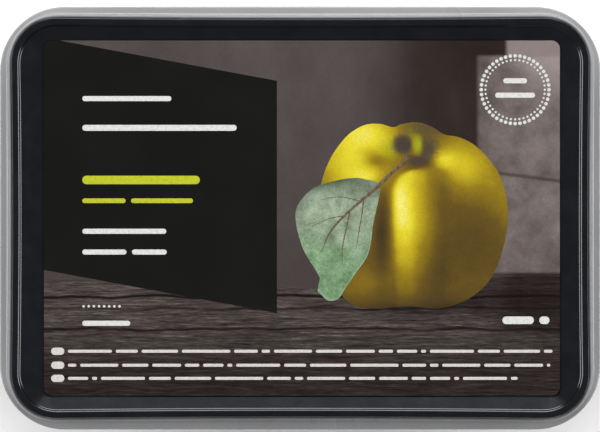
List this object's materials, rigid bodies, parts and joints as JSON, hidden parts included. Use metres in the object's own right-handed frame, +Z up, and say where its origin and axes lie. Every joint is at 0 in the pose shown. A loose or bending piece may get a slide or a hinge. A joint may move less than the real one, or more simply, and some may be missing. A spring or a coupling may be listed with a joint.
{
  "type": "lidded food tub",
  "caption": "Sealed rectangular food tub with a flanged ledge, a press-on lid with a recessed panel, a printed lid label and set fruit jelly inside.",
  "frame": {"origin": "middle of the base, on the surface that the tub stands on", "axes": "+X along the tub's length, +Y along its width towards the top edge of the lid's label, +Z up through the lid"},
  "size_m": [0.142, 0.1, 0.038],
  "materials": {
    "tub_plastic": "milky translucent moulded polypropylene, uncoloured",
    "jelly": "dark amber set fruit jelly with a wet shine",
    "film": "clear to milky heat-sealed film",
    "lid_plastic": "glossy black moulded plastic",
    "lid_label": "satin printed label with a picture of a quince",
    "base_label": "bare white satin label"
  },
  "bodies": {
    "root": {"tub": "tub_plastic", "quince_jelly": "jelly", "sealing_film": "film", "lid": "lid_plastic", "lid_label": "lid_label", "base_label": "base_label"}
  },
  "joints": []
}
